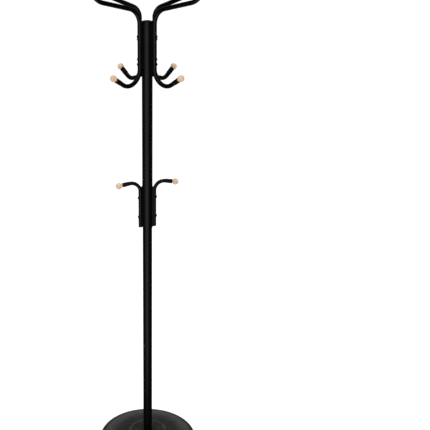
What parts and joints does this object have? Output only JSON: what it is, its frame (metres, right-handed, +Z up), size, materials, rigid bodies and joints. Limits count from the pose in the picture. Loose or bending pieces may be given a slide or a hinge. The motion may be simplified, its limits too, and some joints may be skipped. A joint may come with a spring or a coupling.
{
  "type": "standing coat rack",
  "caption": "Free-standing coat rack: black steel pole on a round domed base, bent tube arms and hooks tipped with wooden balls.",
  "frame": {"origin": "centre of the base on the floor", "axes": "+Z up along the pole, +X to the right hand arms, front towards -Y"},
  "size_m": [0.3948, 0.37, 1.778],
  "materials": {
    "black_paint": "satin",
    "base_paint": "satin",
    "black_plastic": "matte",
    "black_screws": "satin",
    "plated_steel": "satin",
    "cast_iron": "matte",
    "rubber": "matte",
    "beech_wood": "satin"
  },
  "bodies": {
    "root": {"base_bolt": "plated_steel", "base_cover": "base_paint", "base_feet": "rubber", "base_plate": "base_paint", "base_spacer": "plated_steel", "base_washer": "plated_steel", "base_weight": "cast_iron", "front_left_arm_ball": "beech_wood", "front_left_arm_ferrule": "black_plastic", "front_left_hook_ball": "beech_wood", "front_left_hook_ferrule": "black_plastic", "front_left_hook_tube": "black_paint", "front_right_arm_ball": "beech_wood", "front_right_arm_ferrule": "black_plastic", "front_right_hook_ball": "beech_wood", "front_right_hook_ferrule": "black_plastic", "front_right_hook_tube": "black_paint", "lower_hook_screws": "black_screws", "lower_left_end_plug": "black_plastic", "lower_left_hook_ball": "beech_wood", "lower_left_hook_ferrule": "black_plastic", "lower_left_hook_tube": "black_paint", "lower_left_saddle": "black_plastic", "lower_pole": "black_paint", "lower_pole_inserts": "plated_steel", "lower_right_end_plug": "black_plastic", "lower_right_hook_ball": "beech_wood", "lower_right_hook_ferrule": "black_plastic", "lower_right_hook_tube": "black_paint", "lower_right_saddle": "black_plastic", "pole_cap": "black_plastic", "pole_foot_plug": "plated_steel", "pole_stop_ring": "plated_steel", "rear_left_arm_ball": "beech_wood", "rear_left_arm_ferrule": "black_plastic", "rear_left_hook_ball": "beech_wood", "rear_left_hook_ferrule": "black_plastic", "rear_left_hook_tube": "black_paint", "rear_right_arm_ball": "beech_wood", "rear_right_arm_ferrule": "black_plastic", "rear_right_hook_ball": "beech_wood", "rear_right_hook_ferrule": "black_plastic", "rear_right_hook_tube": "black_paint", "upper_hook_screws": "black_screws", "upper_left_saddle": "black_plastic", "upper_pole": "black_paint", "upper_pole_inserts": "plated_steel", "upper_right_saddle": "black_plastic"}
  },
  "joints": []
}
